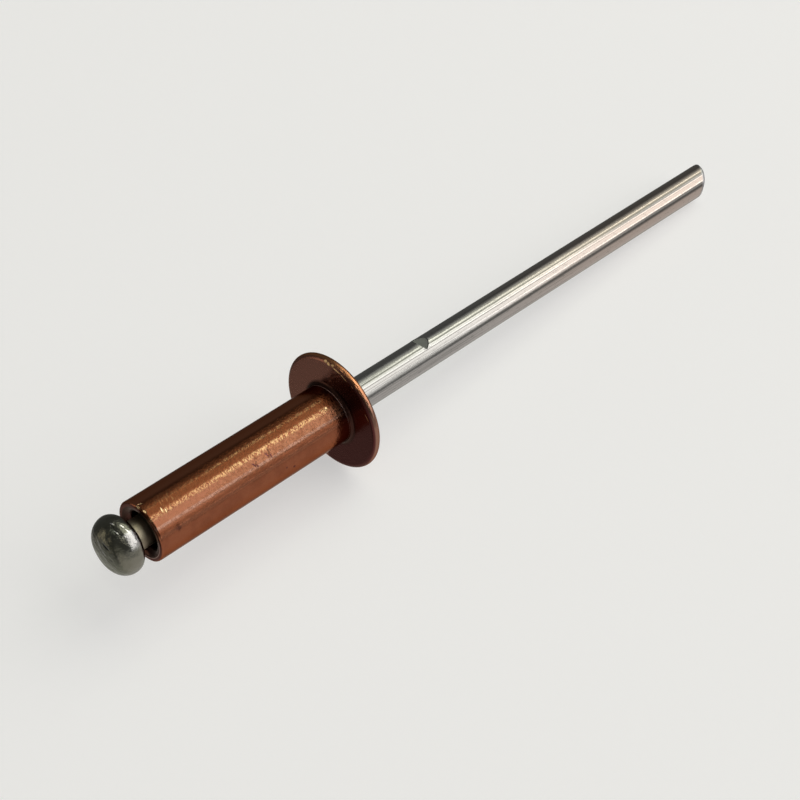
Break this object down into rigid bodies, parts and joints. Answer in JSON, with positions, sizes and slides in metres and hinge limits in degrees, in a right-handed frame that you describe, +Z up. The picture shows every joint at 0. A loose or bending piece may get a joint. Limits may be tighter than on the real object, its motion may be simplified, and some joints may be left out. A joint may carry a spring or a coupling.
{
  "type": "blind rivet",
  "caption": "Unset open-end blind rivet: a dome-headed copper body on a headed steel mandrel, lying on its flange rim and stem tip.",
  "frame": {"origin": "middle of the bounding box's base, on the surface that the rivet lies on", "axes": "+Z up; +X along the rivet towards the tip of the stem, which leans down by about 4.5 degrees; +Y to the left of +X"},
  "size_m": [0.0444, 0.0064, 0.0064],
  "materials": {
    "copper": "drawn copper, satin, with fine scratches and light tarnish",
    "zinc_plated_steel": "drawn and zinc plated, bright, with draw lines along the stem"
  },
  "bodies": {
    "root": {"rivet_body": "copper", "mandrel": "zinc_plated_steel"}
  },
  "joints": []
}
